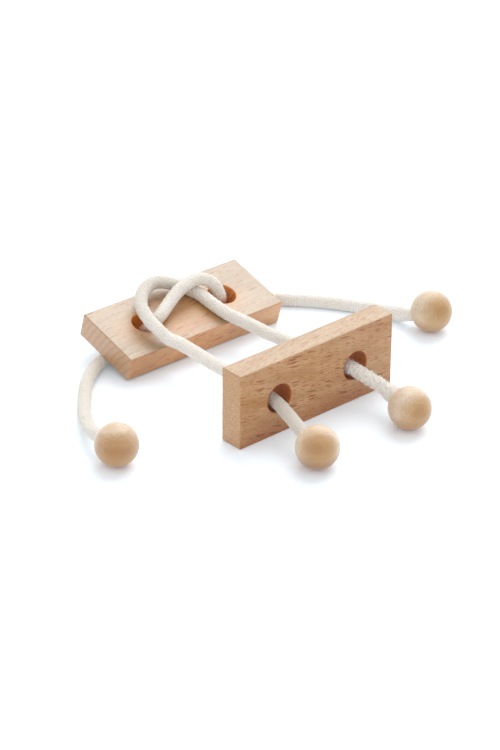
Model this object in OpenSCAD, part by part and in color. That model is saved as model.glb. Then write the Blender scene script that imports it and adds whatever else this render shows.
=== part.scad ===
// Rope and ball disentanglement puzzle: two drilled wooden blocks, two cotton ropes
// whose loops hook each other, and a wooden ball glued on each of the four rope ends.
// Millimetres. +X runs along the front block, +Y from the front block to the rear one,
// +Z is up. The puzzle stands on z = 0, and the origin is under the middle of the wooden
// pieces' bounding box.

/* [Blocks] */
// Length of each block
block_length = 100; // [98:0.5:102]
// Width of each block, which is the height of the front one, standing on its edge
block_width = 40; // [39.5:0.5:41]
// Thickness of each block
block_thickness = 13.5; // [13:0.5:13.5]
// Chamfer that stands for the sanded outer edges
edge_break = 0.8; // [0.4:0.1:1.5]
// Distance between the two holes of a block
hole_spacing = 50; // [49:0.5:51]
// Diameter of each rope hole
hole_diameter = 14.6; // [14.6:0.1:16]
// Chamfer of the hole's rims
rim_break = 0.6; // [0.6:0.1:1]
// Height of the front block's holes above the floor
front_hole_height = 19.6; // [19.4:0.1:20]

/* [Balls] */
// Diameter of each ball
ball_diameter = 21.6; // [21:0.1:22]
// Diameter of the blind hole that takes the rope's end
socket_diameter = 6.6; // [6.5:0.1:7]
// Depth of glue on the floor of that hole
glue_depth = 1; // [0.5:0.1:1]

/* [Ropes] */
// Diameter of each rope
rope_diameter = 6.2; // [5:0.1:6.2]
// Sides of a rope's cross-section
rope_sides = 10; // [8:2:12]

/* [Layout] */
// Place of the front block's middle on the floor
front_block_place = [-1.5, -32.4];
// Place of the rear block's middle, seen from above
rear_block_place = [0, 64.9];
// Slope of the rear block, whose far edge lies on its own rope
rear_tilt = 15; // [14.8:0.1:15.2]
// Roll of the rear block, whose left end stands a little higher
rear_roll = 0.5; // [0.4:0.1:0.6]
// Turn of the rear block, seen from above
rear_turn = -0.8; // [-1:0.1:-0.6]

/* [Hidden] */
$fn = 96;

beech = [0.80, 0.63, 0.46];
pale_wood = [0.87, 0.76, 0.59];
cotton = [0.93, 0.91, 0.87];
dried_glue = [0.93, 0.90, 0.78];

ball_radius = ball_diameter / 2;
// From a ball's centre: the floor of its socket and the rope's end on the glue
socket_floor = 1.5;
rope_end = socket_floor + glue_depth + 0.1;

// Each ball: centre on the floor plan, compass angle of its socket from +Y, and its rise
front_left = [-33.7, -74.4, 12, 4];
front_right = [25.6, -76, 7, 5];
rear_left = [-104.1, -10.4, 1, -6];
rear_right = [104.1, -11, -27, -20];

// ---- Places and directions ----

function ball_centre(ball) = [ball[0], ball[1], ball_radius];
function socket_direction(ball) =
    [sin(ball[2]) * cos(ball[3]), cos(ball[2]) * cos(ball[3]), sin(ball[3])];
function along_socket(ball, distance) =
    ball_centre(ball) + distance * socket_direction(ball);

// The rear block's own axes: along its length, across it, and out of its top face
function about_x(v, a) = [v.x, v.y * cos(a) - v.z * sin(a), v.y * sin(a) + v.z * cos(a)];
function about_y(v, a) = [v.x * cos(a) + v.z * sin(a), v.y, -v.x * sin(a) + v.z * cos(a)];
function about_z(v, a) = [v.x * cos(a) - v.y * sin(a), v.x * sin(a) + v.y * cos(a), v.z];
function lean(v) = about_z(about_y(about_x(v, rear_tilt), rear_roll), rear_turn);

// Height of the rear block's middle, with its lowest corner on the floor
corner_depths = [for (x = [-1, 1]) for (y = [-1, 1])
    lean([x * block_length, y * block_width, -block_thickness] / 2).z];
rear_block_middle = [rear_block_place.x, rear_block_place.y, -min(corner_depths)];

// Point given along and across the rear block, at a height above its top face
function on_rear_block(p) =
    rear_block_middle + lean([p.x, p.y, p.z + block_thickness / 2]);

// ---- Rope routes, by hand ----

// Front rope, from the left ball through the front block's left hole to the rear block
front_rope_left_strand = [
    [-28.2, -49, 14], [-26.6, -38, 16.3], [-26.1, -24, 17.4], [-26.1, -8, 17.7],
    [-26, 8, 17.7], [-25.4, 24, 17.8], [-25.7, 36, 18.3]];

// Its loop over the rear block: along, across, height over the top face
front_rope_loop = [
    [-26.6, -19.5, 4.8], [-28.5, -12, 6.4], [-28.8, -4.5, 7.6], [-27, 3, 8],
    [-22.5, 9.5, 7.7], [-15.5, 15.2, 7.1], [-8, 17.7, 6.4], [-1.5, 16.2, 5.6],
    [4, 12.5, 4.3], [8.8, 8, 3.3], [11.4, 2.5, 3.2], [12.4, -5, 3.2],
    [13.5, -12.5, 3.2], [15, -18.8, 3.4]];

// And back through the front block's right hole to the right ball
front_rope_right_strand = [
    [16.5, 37.5, 16.2], [17.7, 25, 15.7], [18.8, 12, 15.7], [19.8, -1, 16.3],
    [20.8, -14, 17.1], [22, -27, 17.8], [23.6, -38, 17.1], [25.8, -46.5, 14.8],
    [27.1, -53.5, 13.2]];

// Rear rope, from the left ball along the floor and under the rear block
rear_rope_left_tail = [
    [-102.5, 10.5, 8.3], [-97, 21.5, 6], [-89, 33.5, 3.9], [-80, 44.8, 3.2],
    [-70.5, 55.3, 3.1], [-61, 63, 3.1], [-50.5, 68.5, 3.1], [-38.5, 70.8, 3.2]];

// Up through the rear block's left hole, over the front rope and down the right hole
rear_rope_loop = [
    [-31.4, 2.9, -16.5], [-28, 2.5, -14.6], [-26, 1.3, -10.8], [-25.5, -0.8, -5.6],
    [-24.6, -2.6, -1], [-22.2, -3.3, 2.5], [-18, -2.3, 4.3], [-11, 1.3, 5.4],
    [-4, 4.5, 7.1], [3.5, 6.5, 9], [11, 7.2, 9.6], [17.2, 5.6, 8.3],
    [21.2, 2.8, 5.2], [23.6, 0, -0.5], [24.3, 0, -5.5], [25.4, 1.2, -10.8],
    [27.7, 2.6, -14.8], [31.3, 3.3, -16.5]];

// And along the floor again to the right ball
rear_rope_right_tail = [
    [36.5, 71.3, 3.2], [42, 72, 3.1], [50.5, 70.6, 3.1], [58.5, 64.8, 3.1],
    [67.5, 56, 3.1], [78.5, 43.4, 3.1], [90, 26, 3.1], [95.8, 15.5, 3.3]];

// The end of a rope in a ball: from its end face to a little outside the ball
end_distances = [rope_end, 8, 13.5];
function rope_start(ball) = [for (d = end_distances) along_socket(ball, d)];
function rope_finish(ball) = [for (i = [2:-1:0]) along_socket(ball, end_distances[i])];

front_rope_route = concat(
    rope_start(front_left), front_rope_left_strand,
    [for (p = front_rope_loop) on_rear_block(p)],
    front_rope_right_strand, rope_finish(front_right));
rear_rope_route = concat(
    rope_start(rear_left), rear_rope_left_tail,
    [for (p = rear_rope_loop) on_rear_block(p)],
    rear_rope_right_tail, rope_finish(rear_right));

// ---- Sweeping a tube along a route ----

function unit(v) = v / norm(v);
function across(v, t) = unit(v - (v * t) * t);
function tangents(route) = [for (i = [0:len(route) - 1])
    unit(route[min(i + 1, len(route) - 1)] - route[max(i - 1, 0)])];
// A direction square to the route that never twists round it
function carried(tangent) = [
    for (i = 0, n = across([0, 0, 1], tangent[0]);
         i < len(tangent);
         i = i + 1, n = across(n, tangent[min(i, len(tangent) - 1)])) n];

module tube(route, diameter, sides) {
    tangent = tangents(route);
    normal = carried(tangent);
    rings = len(route);
    points = [for (i = [0:rings - 1]) for (k = [0:sides - 1])
        let (a = 360 * k / sides, b = cross(tangent[i], normal[i]))
        route[i] + diameter / 2 * (cos(a) * normal[i] + sin(a) * b)];
    walls = [for (i = [0:rings - 2]) for (k = [0:sides - 1])
        let (here = i * sides, next = (i + 1) * sides, other = (k + 1) % sides)
        each [[here + k, next + k, next + other], [here + k, next + other, here + other]]];
    ends = [[for (k = [0:sides - 1]) k],
            [for (k = [sides - 1:-1:0]) (rings - 1) * sides + k]];
    polyhedron(points, concat(walls, ends));
}

// ---- Blocks ----

module chamfered_plate(length, width, thickness, c) {
    x = length / 2;
    y = width / 2;
    translate([0, 0, -thickness / 2]) linear_extrude(thickness)
        polygon([[c - x, -y], [x - c, -y], [x, c - y], [x, y - c],
                 [x - c, y], [c - x, y], [-x, y - c], [-x, c - y]]);
}

// A bar round the origin, chamfered on all twelve edges
module bar() {
    intersection() {
        chamfered_plate(block_length, block_width, block_thickness, edge_break);
        rotate([90, 0, 0])
            chamfered_plate(block_length, block_thickness, block_width, edge_break);
        rotate([0, 90, 0])
            chamfered_plate(block_thickness, block_width, block_length, edge_break);
    }
}

module rope_hole() {
    flare = rim_break + 0.5;
    cylinder(h = block_thickness + 2, d = hole_diameter, center = true);
    for (side = [0, 180]) rotate([side, 0, 0])
        translate([0, 0, block_thickness / 2 - rim_break])
            cylinder(h = flare, d1 = hole_diameter, d2 = hole_diameter + 2 * flare);
}

// Lying on its broad face, with its holes the given distance off its middle line
module drilled_block(hole_offset = 0) {
    difference() {
        bar();
        for (side = [-1, 1]) translate([side * hole_spacing / 2, hole_offset, 0]) rope_hole();
    }
}

module front_block() {
    color(beech)
    translate([front_block_place.x, front_block_place.y, block_width / 2])
        rotate([90, 0, 0]) drilled_block(front_hole_height - block_width / 2);
}

module rear_block() {
    color(beech)
    translate(rear_block_middle)
        rotate([0, 0, rear_turn]) rotate([0, rear_roll, 0]) rotate([rear_tilt, 0, 0])
            drilled_block();
}

// ---- Ropes ----

module front_rope() { color(cotton) tube(front_rope_route, rope_diameter, rope_sides); }
module rear_rope() { color(cotton) tube(rear_rope_route, rope_diameter, rope_sides); }

// ---- Balls and the glue in their sockets ----

// Turns +Z towards the ball's socket, at the ball's centre
module at_socket(ball) {
    translate(ball_centre(ball)) rotate([ball[3] - 90, 0, -ball[2]]) children();
}

module ball(which) {
    color(pale_wood)
    at_socket(which) difference() {
        sphere(d = ball_diameter);
        translate([0, 0, socket_floor]) cylinder(h = ball_radius, d = socket_diameter);
    }
}

module glue(which) {
    color(dried_glue)
    at_socket(which) translate([0, 0, socket_floor])
        cylinder(h = glue_depth, d = socket_diameter - 0.1);
}

front_block();
rear_block();
front_rope();
rear_rope();
ball(front_left);  // front_left_ball
ball(front_right);  // front_right_ball
ball(rear_left);  // rear_left_ball
ball(rear_right);  // rear_right_ball
glue(front_left);  // front_left_glue
glue(front_right);  // front_right_glue
glue(rear_left);  // rear_left_glue
glue(rear_right);  // rear_right_glue
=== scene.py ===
"""Looks for the rope and ball disentanglement puzzle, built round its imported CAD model.

Everything is in metres, in the CAD frame: +X along the front block, +Y from the front block
to the rear one, +Z up, with the floor at z = 0.
"""

import math

import bmesh
import bpy
import numpy as np
from mathutils import Matrix, Vector


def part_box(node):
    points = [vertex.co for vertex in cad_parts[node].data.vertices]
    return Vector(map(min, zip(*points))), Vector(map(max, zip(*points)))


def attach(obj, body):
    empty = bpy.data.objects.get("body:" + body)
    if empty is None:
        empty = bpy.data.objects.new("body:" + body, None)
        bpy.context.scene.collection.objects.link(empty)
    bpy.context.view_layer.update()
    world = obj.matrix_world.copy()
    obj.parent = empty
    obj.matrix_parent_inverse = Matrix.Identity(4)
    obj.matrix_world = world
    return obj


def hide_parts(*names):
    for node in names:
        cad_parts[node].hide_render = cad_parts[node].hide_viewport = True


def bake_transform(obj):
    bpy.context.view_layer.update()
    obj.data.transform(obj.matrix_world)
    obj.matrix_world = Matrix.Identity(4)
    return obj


MM = 0.001

# ---- The puzzle's own layout, as in the CAD source ----

BLOCK = Vector((100, 40, 13.5)) * MM
HOLE_SPACING = 50 * MM
HOLE_RADIUS = 7.3 * MM
FRONT_HOLE_HEIGHT = 19.6 * MM
REAR_TILT, REAR_ROLL, REAR_TURN = (math.radians(a) for a in (15, 0.5, -0.8))
SOCKET_RADIUS = 3.3 * MM
SOCKET_FLOOR = 1.5 * MM
ROPE_RADIUS = 3.1 * MM

# Compass angle of each ball's socket from +Y, and its rise, in degrees
SOCKETS = {
    "front_left_ball": (12, 4),
    "front_right_ball": (7, 5),
    "rear_left_ball": (1, -6),
    "rear_right_ball": (-27, -20),
}
ROPE_END_DISTANCES = (2.6 * MM, 8 * MM, 13.5 * MM)

# Rope routes, in metres: strands and tails in the frame, and the loops along and across the
# rear block, with the height over its top face
FRONT_LEFT_STRAND = [
    (-0.0282, -0.049, 0.014), (-0.0266, -0.038, 0.0163), (-0.0261, -0.024, 0.0174),
    (-0.0261, -0.008, 0.0177), (-0.026, 0.008, 0.0177), (-0.0254, 0.024, 0.0178),
    (-0.0257, 0.036, 0.0183),
]
FRONT_LOOP = [
    (-0.0266, -0.0195, 0.0048), (-0.0285, -0.012, 0.0064), (-0.0288, -0.0045, 0.0076),
    (-0.027, 0.003, 0.008), (-0.0225, 0.0095, 0.0077), (-0.0155, 0.0152, 0.0071),
    (-0.008, 0.0177, 0.0064), (-0.0015, 0.0162, 0.0056), (0.004, 0.0125, 0.0043),
    (0.0088, 0.008, 0.0033), (0.0114, 0.0025, 0.0032), (0.0124, -0.005, 0.0032),
    (0.0135, -0.0125, 0.0032), (0.015, -0.0188, 0.0034),
]
FRONT_RIGHT_STRAND = [
    (0.0165, 0.0375, 0.0162), (0.0177, 0.025, 0.0157), (0.0188, 0.012, 0.0157),
    (0.0198, -0.001, 0.0163), (0.0208, -0.014, 0.0171), (0.022, -0.027, 0.0178),
    (0.0236, -0.038, 0.0171), (0.0258, -0.0465, 0.0148), (0.0271, -0.0535, 0.0132),
]
REAR_LEFT_TAIL = [
    (-0.1025, 0.0105, 0.0083), (-0.097, 0.0215, 0.006), (-0.089, 0.0335, 0.0039),
    (-0.08, 0.0448, 0.0032), (-0.0705, 0.0553, 0.0031), (-0.061, 0.063, 0.0031),
    (-0.0505, 0.0685, 0.0031), (-0.0385, 0.0708, 0.0032),
]
REAR_LOOP = [
    (-0.0314, 0.0029, -0.0165), (-0.028, 0.0025, -0.0146), (-0.026, 0.0013, -0.0108),
    (-0.0255, -0.0008, -0.0056), (-0.0246, -0.0026, -0.001), (-0.0222, -0.0033, 0.0025),
    (-0.018, -0.0023, 0.0043), (-0.011, 0.0013, 0.0054), (-0.004, 0.0045, 0.0071),
    (0.0035, 0.0065, 0.009), (0.011, 0.0072, 0.0096), (0.0172, 0.0056, 0.0083),
    (0.0212, 0.0028, 0.0052), (0.0236, 0, -0.0005), (0.0243, 0, -0.0055),
    (0.0254, 0.0012, -0.0108), (0.0277, 0.0026, -0.0148), (0.0313, 0.0033, -0.0165),
]
REAR_RIGHT_TAIL = [
    (0.0365, 0.0713, 0.0032), (0.042, 0.072, 0.0031), (0.0505, 0.0706, 0.0031),
    (0.0585, 0.0648, 0.0031), (0.0675, 0.056, 0.0031), (0.0785, 0.0434, 0.0031),
    (0.09, 0.026, 0.0031), (0.0958, 0.0155, 0.0033),
]

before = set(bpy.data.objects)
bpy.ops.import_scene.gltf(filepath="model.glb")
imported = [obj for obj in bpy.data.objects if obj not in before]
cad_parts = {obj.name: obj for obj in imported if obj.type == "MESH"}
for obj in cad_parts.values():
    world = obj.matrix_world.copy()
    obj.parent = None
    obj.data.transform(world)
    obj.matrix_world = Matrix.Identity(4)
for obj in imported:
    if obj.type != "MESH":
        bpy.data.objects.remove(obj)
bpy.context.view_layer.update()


# ---- Camera ----

def add_camera():
    """The camera, in front of the puzzle, to its left and above it."""
    aim = Vector((0.0013, 0.0137, 0))
    distance = 1.4406
    azimuth, elevation, roll = (math.radians(a) for a in (-41.52, 29.12, 0.4))
    back = Vector((math.sin(azimuth) * math.cos(elevation),
                   -math.cos(azimuth) * math.cos(elevation), math.sin(elevation)))
    level = Vector((0, 0, 1)).cross(back).normalized()
    upright = back.cross(level)
    right = math.cos(roll) * level + math.sin(roll) * upright
    up = back.cross(right)
    data = bpy.data.cameras.new("camera")
    data.sensor_width = 36
    data.lens = 137.6
    camera = bpy.data.objects.new("camera", data)
    turn = Matrix((right, up, back)).transposed().to_4x4()
    camera.matrix_world = Matrix.Translation(aim + distance * back) @ turn
    bpy.context.scene.collection.objects.link(camera)
    bpy.context.scene.camera = camera


add_camera()


# ---- Places ----

def turned(angle, axis):
    return Matrix.Rotation(angle, 4, axis)


def middle(node):
    low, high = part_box(node)
    return (low + high) / 2


def ball_radius(node):
    low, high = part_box(node)
    return (high.z - low.z) / 2


def ball_centre(node):
    low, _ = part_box(node)
    radius = ball_radius(node)
    return low + Vector((radius, radius, radius))


def compass_direction(compass, rise):
    """The direction at a compass angle from +Y and a rise, both in degrees."""
    compass, rise = math.radians(compass), math.radians(rise)
    return Vector((math.sin(compass) * math.cos(rise), math.cos(compass) * math.cos(rise),
                   math.sin(rise)))


def socket_direction(node):
    return compass_direction(*SOCKETS[node])


FRONT_BLOCK_PLACE = Matrix.Translation(middle("front_block")) @ turned(math.pi / 2, "X")
REAR_BLOCK_PLACE = (Matrix.Translation(middle("rear_block")) @ turned(REAR_TURN, "Z")
                    @ turned(REAR_ROLL, "Y") @ turned(REAR_TILT, "X"))


def on_rear_block(point):
    along, across, height = point
    return REAR_BLOCK_PLACE @ Vector((along, across, height + BLOCK.z / 2))


def rope_end(node):
    """Route points from a rope's end in its ball to a little outside the ball."""
    return [ball_centre(node) + d * socket_direction(node) for d in ROPE_END_DISTANCES]


# ---- Material nodes, written shortly ----

class Shader:
    """A material's nodes: each call adds one node and returns its output socket."""

    def __init__(self, name):
        self.material = bpy.data.materials.new(name)
        self.material.use_nodes = True
        self.tree = self.material.node_tree
        self.surface = self.tree.nodes["Principled BSDF"]

    def put(self, socket, value):
        if isinstance(value, bpy.types.NodeSocket):
            self.tree.links.new(value, socket)
        else:
            socket.default_value = value

    def node(self, kind, inputs, output=0, **settings):
        made = self.tree.nodes.new("ShaderNode" + kind)
        for key, value in settings.items():
            setattr(made, key, value)
        for key, value in inputs.items():
            self.put(made.inputs[key], value)
        return made.outputs[output]

    def math(self, operation, a, b=0.0):
        return self.node("Math", {0: a, 1: b}, operation=operation)

    def vector(self, operation, a, b):
        return self.node("VectorMath", {0: a, 1: b}, operation=operation)

    def length(self, vector):
        return self.node("VectorMath", {0: vector}, "Value", operation="LENGTH")

    def dot(self, a, b):
        return self.node("VectorMath", {0: a, 1: b}, "Value", operation="DOT_PRODUCT")

    def between(self, share, a, b):
        """The number that lies that share of the way from a to b."""
        return self.node("Mix", {0: share, 2: a, 3: b})

    def millimetres(self, offset=(0, 0, 0)):
        """The piece's own coordinates, in millimetres."""
        place = self.node("TexCoord", {}, "Object")
        scaled = self.vector("MULTIPLY", place, (1000, 1000, 1000))
        return self.vector("ADD", scaled, offset)

    def apart(self, vector):
        split = self.tree.nodes.new("ShaderNodeSeparateXYZ")
        self.put(split.inputs[0], vector)
        return split.outputs[0], split.outputs[1], split.outputs[2]

    def together(self, x, y, z):
        return self.node("CombineXYZ", {0: x, 1: y, 2: z})

    def noise(self, place, cell, detail=2.0, roughness=0.5):
        """Noise from 0 to 1 whose features are about cell = (x, y, z) millimetres."""
        scaled = self.vector("DIVIDE", place, cell)
        return self.node("TexNoise", {"Vector": scaled, "Scale": 1.0, "Detail": detail,
                                      "Roughness": roughness}, "Fac")

    def ramp(self, value, low, high, to_low=0.0, to_high=1.0):
        """Maps low..high smoothly to to_low..to_high."""
        return self.node("MapRange", {"Value": value, "From Min": low, "From Max": high,
                                      "To Min": to_low, "To Max": to_high},
                         interpolation_type="SMOOTHSTEP")

    def mix(self, share, a, b, blend="MIX"):
        """The colour b laid over a with that share."""
        made = self.tree.nodes.new("ShaderNodeMix")
        made.data_type = "RGBA"
        made.blend_type = blend
        for index, value in ((0, share), (6, a), (7, b)):
            self.put(made.inputs[index], value)
        return made.outputs[2]

    def bump(self, height, distance, strength=1.0):
        return self.node("Bump", {"Height": height, "Distance": distance,
                                  "Strength": strength})

    def finish(self, **inputs):
        """Sets the surface's own inputs, and returns the material."""
        for key, value in inputs.items():
            self.put(self.surface.inputs[key.replace("_", " ")], value)
        return self.material


def shade(red, green, blue):
    """A colour from its display values, where 255 is white. More than that brightens."""
    linear = [((c / 255 + 0.055) / 1.055) ** 2.4 for c in (red, green, blue)]
    return (*linear, 1.0)


# Finishes: oiled, polished, turned, and left by the drill
SATIN = {"Coat_Weight": 1.0, "Coat_Roughness": 0.4, "Coat_IOR": 1.5,
         "Specular_IOR_Level": 0.25, "IOR": 1.46}
GLOSSY = {**SATIN, "Coat_IOR": 1.95, "Coat_Roughness": 0.45}
MATT = {"Coat_Weight": 0.8, "Coat_Roughness": 0.55, "Coat_IOR": 1.5,
        "Specular_IOR_Level": 0.3, "IOR": 1.46, "Sheen_Weight": 0.3, "Sheen_Roughness": 0.4}
RAW = {"Coat_Weight": 0.0, "Specular_IOR_Level": 0.25, "IOR": 1.46}


def beech(name, offset, slant, pith, flecks, painted_sheen, end_rings, painted_warm_light, foot, fine, tints, finish):
    """Sawn beech: fibres along X, flecks of ray cells, faint growth rings, dull end grain.

    offset picks a part of the endless wood, in millimetres. slant is how far the fibres run off
    the block's length. pith is where the growth rings' centre lies, in millimetres across the
    block from its middle, and end_rings is how clear the rings are at the ends. flecks is how
    flecked the broad faces and the narrow ones are, and painted_sheen how much a painted sheen
    bleaches them, standing for the glossy reflection on the faces that look up.
    painted_warm_light is how much painted orange-tinted light brightens the wood round the
    block's middle, where the ropes shade the rear block's top. foot is how much darker its broad
    faces get towards the -Y edge, and fine how strong its stripes, fibres and pores are. tints
    shade the broad faces, the narrow ones and the ends.
    """
    s = Shader(name)
    here = s.millimetres(offset)
    x, y, z = s.apart(here)
    facing_x, facing_y, _ = s.apart(s.node("TexCoord", {}, "Normal"))
    narrow = s.ramp(s.math("ABSOLUTE", facing_y), 0.45, 0.55)
    end = s.ramp(s.math("ABSOLUTE", facing_x), 0.6, 0.95)

    # Across the fibres within each face, so that a fleck is a dash on all of them
    wander = s.noise(here, (38, 16, 16), 2)
    lean = s.math("ADD", s.math("MULTIPLY", x, slant), s.math("MULTIPLY", wander, 5.0))
    across = s.math("ADD", s.between(narrow, y, z), lean)
    apart_on_narrow_faces = s.math("MULTIPLY", narrow, 40.0)
    grain = s.together(x, across, apart_on_narrow_faces)

    # Growth rings round the pith
    ring_width = 3.4
    wave = s.math("MULTIPLY", s.noise(here, (30, 8, 8), 2), 3.0)
    from_pith = s.together(0.0, s.math("SUBTRACT", y, pith[0]), s.math("SUBTRACT", z, pith[1]))
    radius = s.math("ADD", s.length(from_pith), wave)
    ring = s.math("FRACT", s.math("DIVIDE", radius, ring_width))
    late_wood = s.math("MULTIPLY", s.ramp(ring, 0.35, 0.9), s.ramp(ring, 1.0, 0.94))

    # Soft clouds, faint stripes and bands, fine fibres and pores
    clouds = s.noise(grain, (32, 9, 9), 2)
    stripes = s.noise(grain, (22, 0.7, 5), 3, 0.6)
    fibres = s.noise(grain, (5, 0.5, 1), 3, 0.65)
    pores = s.noise(grain, (2.4, 0.4, 1), 2, 0.6)
    bands = s.noise(grain, (45, 3.2, 10), 2)

    # Flecks and finer slivers, which keep together in crowds
    crowd = s.ramp(s.noise(grain, (22, 9, 9), 1), 0.35, 0.65, 0.12, -0.12)

    def dashes(cell, reach, chance):
        """Dashes of random weight, out to that reach in the cells whose lot is above chance."""
        place = s.vector("DIVIDE", grain, cell)
        near = s.node("TexVoronoi", {"Vector": place, "Scale": 1.0}, "Distance")
        lot, weight, _ = s.apart(s.node("TexVoronoi", {"Vector": place, "Scale": 1.0}, "Color"))
        lot = s.math("SUBTRACT", lot, crowd)
        drawn = s.math("MULTIPLY", s.ramp(near, reach, reach * 0.68),
                       s.ramp(lot, chance, chance + 0.06))
        return s.math("MULTIPLY", drawn, s.ramp(weight, 0.0, 1.0, 0.65, 1.2))

    side = s.math("SUBTRACT", 1.0, end)
    strength = s.math("MULTIPLY", s.between(narrow, *flecks), side)
    fleck = s.math("MULTIPLY", dashes((11, 1.5, 3), 0.34, 0.58), strength)
    sliver = s.math("MULTIPLY", dashes((5.5, 0.8, 3), 0.35, 0.4), strength)

    # End grain
    speckle = s.noise(here, (0.8, 0.5, 0.5), 3, 0.7)
    rays = s.noise(here, (30, 0.35, 5), 2, 0.6)

    # The colours, from the ground up
    # A painted sheen: a paler, greyer colour over the faces that look up, standing for the
    # glossy reflection on them
    painted_sheen_share = s.between(narrow, *painted_sheen)
    colour = s.mix(s.ramp(clouds, 0.3, 0.7), shade(187, 139, 84), shade(209, 166, 118))
    colour = s.mix(painted_sheen_share, colour, shade(194, 184, 160))
    colour = s.mix(s.ramp(bands, 0.5, 0.7, 0.0, 0.25), colour, shade(172, 110, 36))
    colour = s.mix(s.ramp(stripes, 0.45, 0.75, 0.0, 0.45 * fine), colour, shade(180, 118, 46))
    colour = s.mix(s.math("MULTIPLY", late_wood, 0.1), colour, shade(168, 112, 66))
    colour = s.mix(s.ramp(fibres, 0.46, 0.72, 0.0, 0.75 * fine), colour, shade(168, 104, 24))
    colour = s.mix(s.ramp(pores, 0.54, 0.74, 0.0, 0.8 * fine), colour, shade(148, 82, 6))
    colour = s.mix(s.math("MULTIPLY", sliver, 0.9), colour, shade(168, 92, 0))
    colour = s.mix(fleck, colour, shade(156, 80, 0))
    ends = s.mix(s.ramp(speckle, 0.35, 0.7), shade(174, 121, 68), shade(224, 187, 150))
    ends = s.mix(s.math("MULTIPLY", late_wood, end_rings), ends, shade(164, 114, 74))
    ends = s.mix(s.ramp(rays, 0.5, 0.75, 0.0, 0.35), ends, shade(216, 180, 142))
    colour = s.mix(end, colour, ends)

    # Painted orange-tinted light over the middle, an oval of 44 by 19 mm each way, where the
    # ropes shade the rear block's top; then the darker foot and the tints
    plain_x, plain_y, _ = s.apart(s.millimetres())
    from_middle = s.length(s.together(s.math("DIVIDE", s.math("ADD", plain_x, 4.0), 44.0),
                                      s.math("DIVIDE", s.math("ADD", plain_y, 3.0), 19.0),
                                      0.0))
    painted_light_share = s.ramp(from_middle, 1.1, 0.5, 0.0, painted_warm_light)
    colour = s.mix(painted_light_share, colour, shade(292, 248, 182), "MULTIPLY")
    broad = s.math("MULTIPLY", side, s.math("SUBTRACT", 1.0, narrow))
    low = s.math("MULTIPLY", s.ramp(plain_y, -6.0, -22.0, 0.0, foot), broad)
    colour = s.mix(low, colour, shade(226, 190, 146), "MULTIPLY")
    tint = s.mix(narrow, shade(*tints[0]), shade(*tints[1]))
    tint = s.mix(end, tint, shade(*tints[2]))
    colour = s.mix(1.0, colour, tint, "MULTIPLY")

    relief = s.math("ADD", s.math("MULTIPLY", fibres, -0.5), s.math("MULTIPLY", pores, -0.4))
    relief = s.math("SUBTRACT", relief, s.math("MULTIPLY", fleck, 0.3))
    rough_ends = s.math("MULTIPLY", speckle, end)
    relief = s.math("SUBTRACT", relief, s.math("MULTIPLY", rough_ends, 0.8))
    return s.finish(Base_Color=colour, Roughness=s.ramp(fibres, 0.2, 0.9, 0.45, 0.6),
                    Normal=s.bump(relief, 0.02 * MM, 0.6), **finish)


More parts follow.
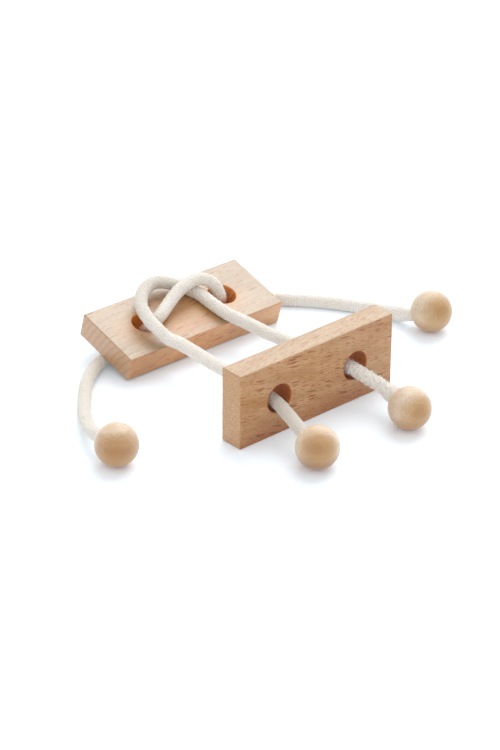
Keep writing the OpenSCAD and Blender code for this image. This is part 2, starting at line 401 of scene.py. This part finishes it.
def turned_wood(name, axes, down, offset, heart, patch, swirl, oval, under, tint):
    """A turned ball, darkest on its end grain, which faces the third of its three grain axes.
    Its lighter side grain, kept on top, is partly the wood's own colour and partly a painted
    highlight.

    down is the direction of the floor in the ball's own frame, and under the
    colour of the shade painted on that side. offset picks a part of the endless wood, in
    millimetres. heart is the radius of the heartwood in millimetres, patch how dark its middle
    is, swirl how clear the rings round it are, and oval how wide they are, 1 for round ones.
    tint shades the whole ball.
    """
    s = Shader(name)
    plain = s.millimetres()
    x, y, z = (s.dot(plain, axis) for axis in axes)
    here = s.vector("ADD", s.together(x, y, z), offset)
    from_centre = s.length(plain)
    wander = s.math("MULTIPLY", s.math("SUBTRACT", s.noise(here, (8, 6, 12), 1.5), 0.5), 9.0)
    flat = s.together(s.math("MULTIPLY", x, oval), y, 0.0)
    radius = s.math("ADD", s.length(flat), wander)
    low = s.math("DIVIDE", s.dot(plain, down), from_centre)
    near_side = s.ramp(z, 0.0, 4.0)
    facing = s.math("ADD", s.math("DIVIDE", z, from_centre), s.math("MULTIPLY", wander, 0.04))
    end = s.ramp(facing, 0.35, 1.0)
    heartwood = s.math("MULTIPLY", s.ramp(radius, heart + 0.9, heart - 0.9), near_side)
    middle_patch = s.math("MULTIPLY", s.ramp(radius, 6.0, 0.5), near_side)
    ring_width = 1.5
    ring = s.math("FRACT", s.math("DIVIDE", radius, ring_width))
    fine_rings = s.math("MULTIPLY", s.ramp(ring, 0.2, 0.85), s.ramp(ring, 1.0, 0.85))
    fine_rings = s.math("MULTIPLY", fine_rings, s.ramp(end, 0.0, 0.5, 0.3, 1.0))
    fibres = s.noise(here, (0.35, 0.35, 4), 3, 0.6)
    pores = s.noise(here, (0.5, 0.5, 1.8), 2, 0.6)
    clouds = s.noise(here, (6, 6, 10), 3)

    # Lighter side grain and darker end grain: partly the wood's own grain, partly a painted
    # highlight, as the poles keep the side grain on top
    colour = s.mix(end, shade(227, 212, 191), shade(193, 156, 108))
    colour = s.mix(s.ramp(clouds, 0.35, 0.65, 0.0, 0.3), colour, shade(204, 170, 124))
    colour = s.mix(s.math("MULTIPLY", heartwood, 0.35), colour, shade(170, 124, 74))
    colour = s.mix(s.math("MULTIPLY", middle_patch, patch), colour, shade(152, 102, 58))
    colour = s.mix(s.math("MULTIPLY", fine_rings, swirl), colour, shade(160, 112, 66))
    colour = s.mix(s.ramp(fibres, 0.45, 0.75, 0.0, 0.5), colour, shade(184, 136, 78))
    colour = s.mix(s.ramp(pores, 0.56, 0.76, 0.0, 0.4), colour, shade(160, 108, 52))
    # Painted shade on the side towards the floor, deepening to orange at the very bottom
    colour = s.mix(s.ramp(low, -0.25, 0.6, 0.0, 0.9), colour, shade(*under))
    colour = s.mix(s.ramp(low, 0.5, 0.9, 0.0, 0.7), colour, shade(190, 126, 70))
    colour = s.mix(1.0, colour, shade(*tint), "MULTIPLY")
    relief = s.math("ADD", s.math("MULTIPLY", fibres, -0.6), s.math("MULTIPLY", pores, -0.4))
    return s.finish(Base_Color=colour, Roughness=s.ramp(fibres, 0.2, 0.9, 0.5, 0.62),
                    Normal=s.bump(relief, 0.015 * MM, 0.6), **MATT)


def cotton(name):
    """Undyed braided cotton: cream stitches, painted brownish shade in the grooves, fine fibres.

    The mesh says how deep in a groove each point is, how deep inside the rear block it lies, for
    the painted shade there, and how much painted grey shade it gets.
    """
    s = Shader(name)
    here = s.millimetres()
    groove, painted_hole_shade, painted_grey_shade = (s.node("Attribute", {}, "Fac", attribute_name=label)
                            for label in ("groove", "painted_hole_shade", "painted_grey_shade"))
    fibres = s.noise(here, (0.25, 0.25, 0.25), 3, 0.7)
    clouds = s.noise(here, (9, 9, 9), 2)
    colour = s.mix(s.ramp(clouds, 0.35, 0.7), shade(234, 231, 225), shade(231, 226, 217))
    # Painted shade in the grooves of the braid, deeper where the groove is deeper
    colour = s.mix(s.ramp(groove, 0.25, 0.85, 0.0, 0.65), colour, shade(188, 172, 150))
    colour = s.mix(s.ramp(fibres, 0.5, 0.8, 0.0, 0.25), colour, shade(214, 205, 190))
    # Painted grey shade along parts of the rope
    colour = s.mix(painted_grey_shade, colour, shade(166, 152, 130))
    # Painted brownish shade on the rope inside the rear block's holes
    colour = s.mix(s.ramp(painted_hole_shade, 0.0, 1.0, 0.0, 0.8), colour, shade(180, 132, 104))
    return s.finish(Base_Color=colour, Roughness=0.92, Normal=s.bump(fibres, 0.1 * MM, 0.7),
                    Sheen_Weight=0.3, Sheen_Roughness=0.5, Specular_IOR_Level=0.2)


def dried_glue():
    s = Shader("dried_glue")
    lumps = s.noise(s.millimetres(), (1.2, 1.2, 1.2), 2)
    colour = s.mix(lumps, shade(226, 212, 170), shade(240, 230, 200))
    return s.finish(Base_Color=colour, Roughness=0.35, Normal=s.bump(lumps, 0.2 * MM))


# ---- Mesh helpers ----

LATHE_SIDES = 96
ON_AXIS = 1e-7            # a radius too small for a ring, in metres


def add_object(name, mesh, materials):
    made = bpy.data.objects.new(name, mesh)
    for material in materials:
        made.data.materials.append(material)
    bpy.context.scene.collection.objects.link(made)
    return made


def smooth(mesh, sharp_angle=math.radians(40)):
    """Smooth shading, apart from the edges sharper than that angle."""
    work = bmesh.new()
    work.from_mesh(mesh)
    for face in work.faces:
        face.smooth = True
    for edge in work.edges:
        edge.smooth = len(edge.link_faces) == 2 and edge.calc_face_angle(0) < sharp_angle
    work.to_mesh(mesh)
    work.free()


def lathe(profile):
    """A mesh round Z through the (radius, height) points of the profile, top end last."""
    work = bmesh.new()
    turn = [2 * math.pi * k / LATHE_SIDES for k in range(LATHE_SIDES)]
    rings = []
    for radius, height in profile:
        if radius < ON_AXIS:
            rings.append([work.verts.new((0, 0, height))])
        else:
            rings.append([work.verts.new((radius * math.cos(a), radius * math.sin(a), height))
                          for a in turn])
    for low, high in zip(rings, rings[1:]):
        for k in range(LATHE_SIDES):
            after = (k + 1) % LATHE_SIDES
            corners = [low[k % len(low)], low[after % len(low)],
                       high[after % len(high)], high[k % len(high)]]
            # At the axis two corners are the same
            work.faces.new(list(dict.fromkeys(corners)))
    bmesh.ops.recalc_face_normals(work, faces=work.faces)
    mesh = bpy.data.meshes.new("lathe")
    work.to_mesh(mesh)
    work.free()
    return mesh


def arc(centre, radius, start, end, steps):
    """Points of an arc in a lathe's profile, between two angles in degrees."""
    angles = [math.radians(start + (end - start) * k / steps) for k in range(steps + 1)]
    return [(centre[0] + radius * math.cos(a), centre[1] + radius * math.sin(a)) for a in angles]


# ---- Blocks ----

EDGE_ROUND = 0.75 * MM
RIM_ROUND = 0.6 * MM


def hole_cutter():
    """A plug with the shape of a drilled hole whose two rims are rounded over."""
    half = BLOCK.z / 2
    over = HOLE_RADIUS + RIM_ROUND
    rim = half - RIM_ROUND
    lower = arc((over, -rim), RIM_ROUND, 270, 180, 5)
    upper = arc((over, rim), RIM_ROUND, 180, 90, 5)
    beyond = half + 1 * MM
    return lathe([(0, -beyond), (over, -beyond), *lower, *upper, (over, beyond), (0, beyond)])


def drilled_block(name, hole_offset, place, side_wood, bore_wood):
    """A block with rounded edges, its two holes that distance off its middle line."""
    work = bmesh.new()
    bmesh.ops.create_cube(work, size=1, matrix=Matrix.Diagonal((*BLOCK, 1)))
    bmesh.ops.bevel(work, geom=work.edges[:], offset=EDGE_ROUND, segments=4, profile=0.5,
                    affect="EDGES")
    mesh = bpy.data.meshes.new(name)
    work.to_mesh(mesh)
    work.free()
    block = add_object(name, mesh, [side_wood, bore_wood])
    cutter_mesh = hole_cutter()
    for side in (-1, 1):
        cutter = add_object("cutter", cutter_mesh.copy(), [side_wood, bore_wood])
        cutter.data.polygons.foreach_set("material_index", [1] * len(cutter.data.polygons))
        cutter.location = (side * HOLE_SPACING / 2, hole_offset, 0)
        cut = block.modifiers.new("hole", "BOOLEAN")
        cut.operation = "DIFFERENCE"
        cut.solver = "EXACT"
        cut.object = cutter
        bpy.context.view_layer.update()
        evaluated = block.evaluated_get(bpy.context.evaluated_depsgraph_get())
        drilled = bpy.data.meshes.new_from_object(evaluated)
        block.modifiers.clear()
        block.data = drilled
        bpy.data.objects.remove(cutter)
    smooth(block.data)
    weigh = block.modifiers.new("flat faces stay flat", "WEIGHTED_NORMAL")
    weigh.keep_sharp = True
    weigh.weight = 100
    block.matrix_world = place
    return block


# ---- Balls ----

def drilled_ball(node, wood):
    """A ball with the blind hole for its rope, whose rim is broken."""
    radius = ball_radius(node)
    rim = 0.35 * MM
    mouth = math.degrees(math.asin((SOCKET_RADIUS + rim) / radius))
    outside = arc((0, 0), radius, -90, 90 - mouth, 72)
    top = outside[-1][1]
    corner = [(SOCKET_RADIUS + 0.3 * rim, top + 0.02 * MM), (SOCKET_RADIUS, top - rim)]
    profile = [(0, -radius), *outside[1:], *corner, (SOCKET_RADIUS, SOCKET_FLOOR),
               (0, SOCKET_FLOOR)]
    ball = add_object(node + "_turned", lathe(profile), [wood])
    smooth(ball.data)
    turn = socket_direction(node).to_track_quat("Z", "Y").to_matrix().to_4x4()
    ball.matrix_world = Matrix.Translation(ball_centre(node)) @ turn
    return ball


# ---- Ropes ----

CURVE_STEPS = 40         # between two points of a route, before the run is evened out
STITCH = 1.4 * MM        # the length of one, along the rope
COLUMNS = 18             # half-columns of stitches round the rope
COLUMN_STEPS = 6         # mesh columns for each
STEP = STITCH / 6        # between rings of the mesh
PATH_STEP = 6
PLAIN_WOOL = 0.45        # how far wool hides the stitches, from 0 to 1
SLIM_END = 7.6 * MM      # how much of each end keeps its plain size, to fit its socket
ROPE_LIFT = 0.03 * MM    # least height of the braid over the floor

FIBRE_SEGMENTS = 3
FIBRE_HALF_WIDTH = 0.075  # millimetres, at the root
FIBRE_TAPER = 0.02        # millimetres narrower after each segment
FIBRE_LIFT = 0.05 * MM    # least height of a loose fibre over the floor

# Loose fibres for each millimetre of rope, and their length
FUZZ = (22, 0.8 * MM)
LONG_FUZZ = (70, 1.5 * MM)


class Rope:
    """A smooth run along a route: even points, their distances and the frame they carry."""

    def __init__(self, route):
        points = np.array([tuple(p) for p in route])
        padded = np.vstack([2 * points[0] - points[1], points, 2 * points[-1] - points[-2]])
        share = np.linspace(0, 1, CURVE_STEPS, endpoint=False)[:, None]
        fine = []
        for a, b, c, d in zip(padded, padded[1:], padded[2:], padded[3:]):
            fine.append(0.5 * (2 * b + (c - a) * share + (2 * a - 5 * b + 4 * c - d) * share ** 2
                               + (3 * b - a - 3 * c + d) * share ** 3))
        fine = np.vstack([*fine, points[-1:]])
        gone = np.concatenate([[0], np.cumsum(np.linalg.norm(np.diff(fine, axis=0), axis=1))])
        self.length = gone[-1]
        count = int(round(self.length / STEP)) + 1
        self.distance = np.linspace(0, self.length, count)
        self.points = np.column_stack([np.interp(self.distance, gone, fine[:, k])
                                       for k in range(3)])
        tangents = np.gradient(self.points, axis=0)
        tangents /= np.linalg.norm(tangents, axis=1)[:, None]
        self.normal = np.zeros_like(self.points)
        carried = np.array((0.0, 0.0, 1.0))
        for k, t in enumerate(tangents):
            carried = carried - carried.dot(t) * t
            carried /= np.linalg.norm(carried)
            self.normal[k] = carried
        self.side = np.cross(tangents, self.normal)
        self.swell = np.zeros(count)
        self.wool = np.full(count, PLAIN_WOOL)
        # Painted shade inside the holes, along the rope
        self.painted_hole_shade = np.zeros(count)
        # Painted grey shade, along the rope
        self.painted_grey_shade = np.zeros(count)

    def add_swell(self, at, spread, amount):
        """Thickens the rope by that amount round a distance along it."""
        self.swell += amount * np.exp(-((self.distance - at) / spread) ** 2)

    def add_wool(self, at, spread, amount):
        """Makes the rope woollier, so that its stitches show less, round a distance along it."""
        self.wool += (amount - self.wool) * np.exp(-((self.distance - at) / spread) ** 4)

    def add_painted_grey_shade(self, at, spread, amount):
        """Paints a little grey shade on the rope round a distance along it."""
        self.painted_grey_shade += amount * np.exp(-((self.distance - at) / spread) ** 4)

    def add_painted_hole_shade(self, place, inside, outside):
        """Paints shade on the rope inside the block at that place.

        The painted shade deepens between two heights off the block's middle, outside and inside.
        """
        turn = np.array(place.inverted())
        points = self.points @ turn[:3, :3].T + turn[:3, 3]
        deep = np.clip((outside - np.abs(points[:, 2])) / (outside - inside), 0, 1)
        within = np.abs(points[:, :2]) < np.array(BLOCK.xy) / 2
        self.painted_hole_shade = np.maximum(self.painted_hole_shade, deep * within.all(axis=1))

    def nearest(self, point):
        """The ring nearest to a point."""
        return int(np.linalg.norm(self.points - np.array(tuple(point)), axis=1).argmin())


def woolly(shape, rng):
    """Random lumps about a stitch across, with a spread of 1, closed round the rope."""
    waves = rng.normal(0, 1, shape)
    for axis, reach in enumerate((3, 4)):
        kernel = np.hanning(2 * reach + 1)
        padded = np.take(waves, range(-reach, waves.shape[axis] + reach), axis, mode="wrap")
        waves = np.apply_along_axis(np.convolve, axis, padded, kernel, "valid")
    return waves / waves.std()


def braid(rope, first, last, rng):
    """The braided surface between two rings of a rope: its vertices, and its looks at each."""
    rings = slice(first, last + 1)
    around = COLUMNS * COLUMN_STEPS
    angle = 2 * np.pi * np.arange(around) / around
    distance = rope.distance[rings, None]

    # The columns wander round the rope, in waves of random size
    waves = rng.normal(0, 1, (4, 2)) * np.array([[1, 0.7, 0.5, 0.35]]).T
    slow = distance / (9 * MM) * np.array([[1, 1.7, 2.9, 4.1]])
    twist = 0.45 * (np.sin(slow) @ waves[:, :1] + np.cos(slow) @ waves[:, 1:])
    column = COLUMNS * angle[None, :] / (2 * np.pi) + twist

    # Stitches slant one way and the other in turn, as chevrons, with a groove between columns
    arm = np.abs(column % 2 - 1)
    phase = distance / STITCH + 0.5 * arm + 0.06 * woolly((last + 1 - first, around), rng)
    stitch = np.abs(np.sin(np.pi * phase)) ** 0.7
    edge = np.clip(np.minimum(arm, 1 - arm) / 0.3, 0, 1)
    rise = stitch * (0.35 + 0.65 * edge)

    # Wool fills the grooves and makes lumps
    wool = rope.wool[rings, None]
    rise = rise * (1 - 0.8 * wool) + 0.6 * wool
    lumps = (0.02 + 0.2 * wool ** 2) * woolly(rise.shape, rng)
    uneven = 0.03 * rng.normal(0, 1, rise.shape)
    height = (0.4 * rise - 0.1 + lumps + uneven) * MM

    radius = ROPE_RADIUS + rope.swell[rings, None] + height
    outwards = (np.cos(angle)[None, :, None] * rope.normal[rings, None, :]
                + np.sin(angle)[None, :, None] * rope.side[rings, None, :])
    vertices = rope.points[rings, None, :] + radius[..., None] * outwards
    vertices[..., 2] = np.maximum(vertices[..., 2], ROPE_LIFT)
    # The painted shades along the rope, copied round each ring
    painted_hole_shade, painted_grey_shade = (np.broadcast_to(values[rings, None], rise.shape)
                    for values in (rope.painted_hole_shade, rope.painted_grey_shade))
    return vertices, {"groove": 1 - rise, "painted_hole_shade": painted_hole_shade, "painted_grey_shade": painted_grey_shade}


def rope_piece(name, rope, first, last, material, rng):
    """The braided tube between two rings of a rope, closed at both ends."""
    vertices, looks = braid(rope, first, last, rng)
    rings, around, _ = vertices.shape
    index = np.arange(rings * around).reshape(rings, around)
    beside = np.roll(index, -1, axis=1)
    walls = np.stack([index[:-1], beside[:-1], beside[1:], index[1:]], axis=-1).reshape(-1, 4)
    points = [*vertices.reshape(-1, 3), rope.points[first], rope.points[last]]
    start, end = rings * around, rings * around + 1
    caps = [(start, beside[0, k], index[0, k]) for k in range(around)]
    caps += [(end, index[-1, k], beside[-1, k]) for k in range(around)]
    mesh = bpy.data.meshes.new(name)
    mesh.from_pydata([tuple(p) for p in points], [], [*walls.tolist(), *caps])
    mesh.validate()
    mesh.polygons.foreach_set("use_smooth", [True] * len(mesh.polygons))
    for label, values in looks.items():
        stored = mesh.attributes.new(label, "FLOAT", "POINT")
        stored.data.foreach_set("value", np.append(values.ravel(), [0, 0]).astype(np.float32))
    return add_object(name, mesh, [material])


def fuzz_piece(name, rope, spans, material, rng):
    """Loose fibre ends on a rope, as curled ribbons.

    spans lists (from, to, fibres for each millimetre, their length).
    """
    vertices, faces = [], []
    for start, end, density, reach in spans:
        count = int((end - start) / MM * density)
        for at in rng.uniform(start, end, count):
            ring = min(int(at / STEP), len(rope.distance) - 1)
            angle = rng.uniform(0, 2 * np.pi)
            out = np.cos(angle) * rope.normal[ring] + np.sin(angle) * rope.side[ring]
            point = rope.points[ring] + (ROPE_RADIUS + rope.swell[ring]) * out
            heading = out + rng.normal(0, 0.8, 3)
            heading /= np.linalg.norm(heading)
            curl = rng.normal(0, 0.9, 3)
            across = np.cross(heading, rng.normal(0, 1, 3))
            across /= np.linalg.norm(across)
            stride = reach * rng.uniform(0.4, 1.2) / FIBRE_SEGMENTS
            base = len(vertices)
            for k in range(FIBRE_SEGMENTS + 1):
                width = (FIBRE_HALF_WIDTH - FIBRE_TAPER * k) * MM
                lifted = point.copy()
                lifted[2] = max(lifted[2], FIBRE_LIFT)
                vertices += [lifted - width * across, lifted + width * across]
                heading = heading + curl / FIBRE_SEGMENTS
                heading /= np.linalg.norm(heading)
                point = point + stride * heading
            faces += [(base + 2 * k, base + 2 * k + 1, base + 2 * k + 3, base + 2 * k + 2)
                      for k in range(FIBRE_SEGMENTS)]
    mesh = bpy.data.meshes.new(name)
    mesh.from_pydata([tuple(v) for v in vertices], [], faces)
    mesh.polygons.foreach_set("use_smooth", [True] * len(mesh.polygons))
    return add_object(name, mesh, [material])


# ---- Building the pieces ----

BLOCK_LOOKS = {
    "front_block": {"offset": (13, 40, 5), "slant": 0.17, "pith": (90, 95),
                    "flecks": (1.15, 0.45), "painted_sheen": (0, 0.4), "end_rings": 0.12,
                    "painted_warm_light": 0, "foot": 1, "fine": 1.1},
    "rear_block": {"offset": (210, -35, 60), "slant": -0.1, "pith": (-110, 25),
                   "flecks": (0.65, 0.95), "painted_sheen": (0.26, 0), "end_rings": 0.5,
                   "painted_warm_light": 0.8, "foot": 0, "fine": 0.55},
}
# Display shades over the broad faces, the narrow ones and the ends, and over the bores, which is
# partly the drilled wood's own tone and partly painted light, brightest in the rear bores
BLOCK_TINTS = {
    "front_block": ((237, 235, 233), (236, 239, 240), (237, 230, 215), (226, 178, 152)),
    "rear_block": ((219, 230, 243), (254, 238, 203), (235, 229, 214), (276, 262, 242)),
}
# Place, how far the holes are off the middle line, and finish
BLOCKS = {
    "front_block": (FRONT_BLOCK_PLACE, FRONT_HOLE_HEIGHT - BLOCK.y / 2, SATIN),
    "rear_block": (REAR_BLOCK_PLACE, 0, GLOSSY),
}


def add_blocks():
    for node, (place, hole_offset, finish) in BLOCKS.items():
        *side_tints, bore_tone_and_painted_light = BLOCK_TINTS[node]
        look = BLOCK_LOOKS[node]
        side_wood = beech(node + "_beech", **look, tints=side_tints, finish=finish)
        # A bore's shade is partly the drilled wood's own tone and partly painted light in the
        # hole
        bore_wood = beech(node + "_bore", **look, tints=[bore_tone_and_painted_light] * 3, finish=RAW)
        block = drilled_block(node + "_wood", hole_offset, place, side_wood, bore_wood)
        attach(block, "front_block" if node == "front_block" else "rear_block_and_ropes")
        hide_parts(node)


# Compass angle from +Y and rise of the way each ball's end grain faces, in degrees; this keeps
# the lighter side grain, partly a painted highlight, on top
BALL_POLES = {
    "front_left_ball": (219, 24),
    "front_right_ball": (193, 12),
    "rear_left_ball": (221, 6),
    "rear_right_ball": (190, 22),
}
BALL_LOOKS = {
    "front_left_ball": {"offset": (5, 3, 1), "heart": 7.0, "patch": 0.4, "swirl": 0.14,
                        "oval": 0.8, "under": (155, 107, 62), "tint": (248, 247, 246)},
    "front_right_ball": {"offset": (31, 17, 9), "heart": 3.6, "patch": 0.28, "swirl": 0.18,
                         "oval": 0.9, "under": (180, 138, 94), "tint": (246, 243, 242)},
    "rear_left_ball": {"offset": (52, 8, 27), "heart": 8.0, "patch": 0.5, "swirl": 0.22,
                       "oval": 0.5, "under": (184, 142, 97), "tint": (245, 240, 235)},
    "rear_right_ball": {"offset": (77, 45, 13), "heart": 3.5, "patch": 0.1, "swirl": 0.15,
                        "oval": 1, "under": (190, 150, 104), "tint": (243, 239, 233)},
}


def add_balls():
    for node, look in BALL_LOOKS.items():
        turn = socket_direction(node).to_track_quat("Z", "Y").inverted()
        pole = compass_direction(*BALL_POLES[node])
        level = pole.cross(Vector((0, 0, 1))).normalized()
        axes = [turn @ axis for axis in (level, pole.cross(level), pole)]
        down = turn @ Vector((0, 0, -1))
        wood = turned_wood(node + "_wood", axes, down, **look)
        ball = drilled_ball(node, wood)
        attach(ball, node)
        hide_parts(node)


def add_half_rope(cad_node, side, rope, first, last, cottons):
    """One half of a rope, from its ball to the middle, which is out of sight."""
    name = f"{cad_node}_{side}"
    start_at, end_at = rope.distance[first], rope.distance[last]
    spans = [(start_at, end_at, *FUZZ)]
    if name == "front_rope_right":
        spans.append((end_at - 42 * MM, end_at - 9 * MM, *LONG_FUZZ))
    rng = np.random.default_rng(len(name) * 7 + first)
    piece = rope_piece(name, rope, first, last, cottons, rng)
    fuzz = fuzz_piece(name + "_fuzz", rope, spans, cottons, rng)
    for made in (piece, fuzz):
        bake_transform(made)
    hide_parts(cad_node)
    path = rope.points[first:last + 1:PATH_STEP]
    if side == "right":
        path = path[::-1]


def front_run():
    """The front rope's run, and the ring where its halves meet beneath the rear rope."""
    rope = Rope([*rope_end("front_left_ball"), *FRONT_LEFT_STRAND,
                 *map(on_rear_block, FRONT_LOOP), *FRONT_RIGHT_STRAND,
                 *reversed(rope_end("front_right_ball"))])
    rope.add_swell(rope.length - 11.5 * MM, 4 * MM, 1.1 * MM)
    rope.add_wool(rope.length / 2, 70 * MM, 0.5)
    rope.add_wool(rope.length - 26 * MM, 16 * MM, 1)
    # Painted grey shade on the left strand from its ball through the front block, and round the
    # far side of the loop
    rope.add_painted_grey_shade(25 * MM, 24 * MM, 0.3)
    far_side = rope.nearest(on_rear_block(FRONT_LOOP[5]))
    rope.add_painted_grey_shade(rope.distance[far_side], 24 * MM, 0.28)
    return rope, rope.nearest(on_rear_block(FRONT_LOOP[9]))


def rear_run():
    """The rear rope's run, and the ring where its halves meet in the right hole."""
    rope = Rope([*rope_end("rear_left_ball"), *REAR_LEFT_TAIL,
                 *map(on_rear_block, REAR_LOOP), *REAR_RIGHT_TAIL,
                 *reversed(rope_end("rear_right_ball"))])
    rope.add_swell(rope.length - 16 * MM, 4.5 * MM, 0.7 * MM)
    # Painted brownish shade on the rope where it runs inside the rear block's holes
    rope.add_painted_hole_shade(REAR_BLOCK_PLACE, BLOCK.z / 2 - 3 * MM, BLOCK.z / 2 + 0.5 * MM)
    # Painted grey shade along the left tail
    rope.add_painted_grey_shade(50 * MM, 45 * MM, 0.2)
    return rope, rope.nearest(on_rear_block(REAR_LOOP[14]))


def add_ropes():
    cottons = cotton("braided_cotton")
    for cad_node, (rope, split) in (("front_rope", front_run()), ("rear_rope", rear_run())):
        in_sockets = np.minimum(rope.distance, rope.length - rope.distance) < SLIM_END
        rope.swell[in_sockets] = 0
        last = len(rope.distance) - 1
        add_half_rope(cad_node, "left", rope, 0, split, cottons)
        add_half_rope(cad_node, "right", rope, split, last, cottons)


def add_glue():
    material = dried_glue()
    for ball in SOCKETS:
        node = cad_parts[ball.replace("_ball", "_glue")]
        node.data.materials.clear()
        node.data.materials.append(material)


# ---- Floor and light ----

def add_floor():
    reach = 30  # metres from the middle to each side
    mesh = bpy.data.meshes.new("floor")
    corners = [(-reach, -reach, 0), (reach, -reach, 0), (reach, reach, 0), (-reach, reach, 0)]
    mesh.from_pydata(corners, [], [(0, 1, 2, 3)])
    s = Shader("white_floor")
    floor = add_object("floor", mesh, [s.finish(
        Base_Color=(0.88, 0.94, 1.0, 1), Roughness=0.9, Specular_IOR_Level=0.1,
        Emission_Color=(0.85, 0.94, 1, 1), Emission_Strength=0.1)])


def add_softbox(name, compass, elevation, spread, power):
    """A distant round softbox: compass angle from +Y, elevation and apparent size in degrees."""
    data = bpy.data.lights.new(name, "SUN")
    data.angle = math.radians(spread)
    data.energy = power
    light = bpy.data.objects.new(name, data)
    towards = compass_direction(compass, elevation)
    light.rotation_mode = "QUATERNION"
    light.rotation_quaternion = towards.to_track_quat("Z", "Y")
    light.location = towards
    bpy.context.scene.collection.objects.link(light)


def add_world():
    """Pale light all round, stronger from the front, and white close to the horizon."""
    world = bpy.data.worlds.new("studio")
    bpy.context.scene.world = world
    world.use_nodes = True
    nodes, links = world.node_tree.nodes, world.node_tree.links
    direction = nodes.new("ShaderNodeTexCoord").outputs["Generated"]
    height = nodes.new("ShaderNodeSeparateXYZ")
    links.new(direction, height.inputs[0])
    front = nodes.new("ShaderNodeVectorMath")
    front.operation = "DOT_PRODUCT"
    front.inputs[1].default_value = compass_direction(221, 30)
    links.new(direction, front.inputs[0])

    def graded(value, low, high, to_low, to_high):
        """Maps low..high smoothly to to_low..to_high."""
        grade = nodes.new("ShaderNodeMapRange")
        grade.interpolation_type = "SMOOTHSTEP"
        for socket, setting in zip(list(grade.inputs)[1:5], (low, high, to_low, to_high)):
            socket.default_value = setting
        links.new(value, grade.inputs["Value"])
        return grade.outputs[0]

    horizon_glow = graded(height.outputs[2], 0.12, 0.3, 1.15, 0.0)
    front_glow = graded(front.outputs["Value"], -0.4, 1.0, 0.76, 1.03)
    strength = nodes.new("ShaderNodeMath")
    strength.operation = "MAXIMUM"
    links.new(horizon_glow, strength.inputs[0])
    links.new(front_glow, strength.inputs[1])
    background = nodes["Background"]
    background.inputs["Color"].default_value = (1, 1, 1, 1)
    links.new(strength.outputs[0], background.inputs["Strength"])


add_ropes()
add_blocks()
add_balls()
add_glue()
add_floor()
add_world()
add_softbox("back_softbox", compass=58, elevation=47, spread=55, power=1.95)
bpy.context.scene.view_settings.view_transform = "Standard"
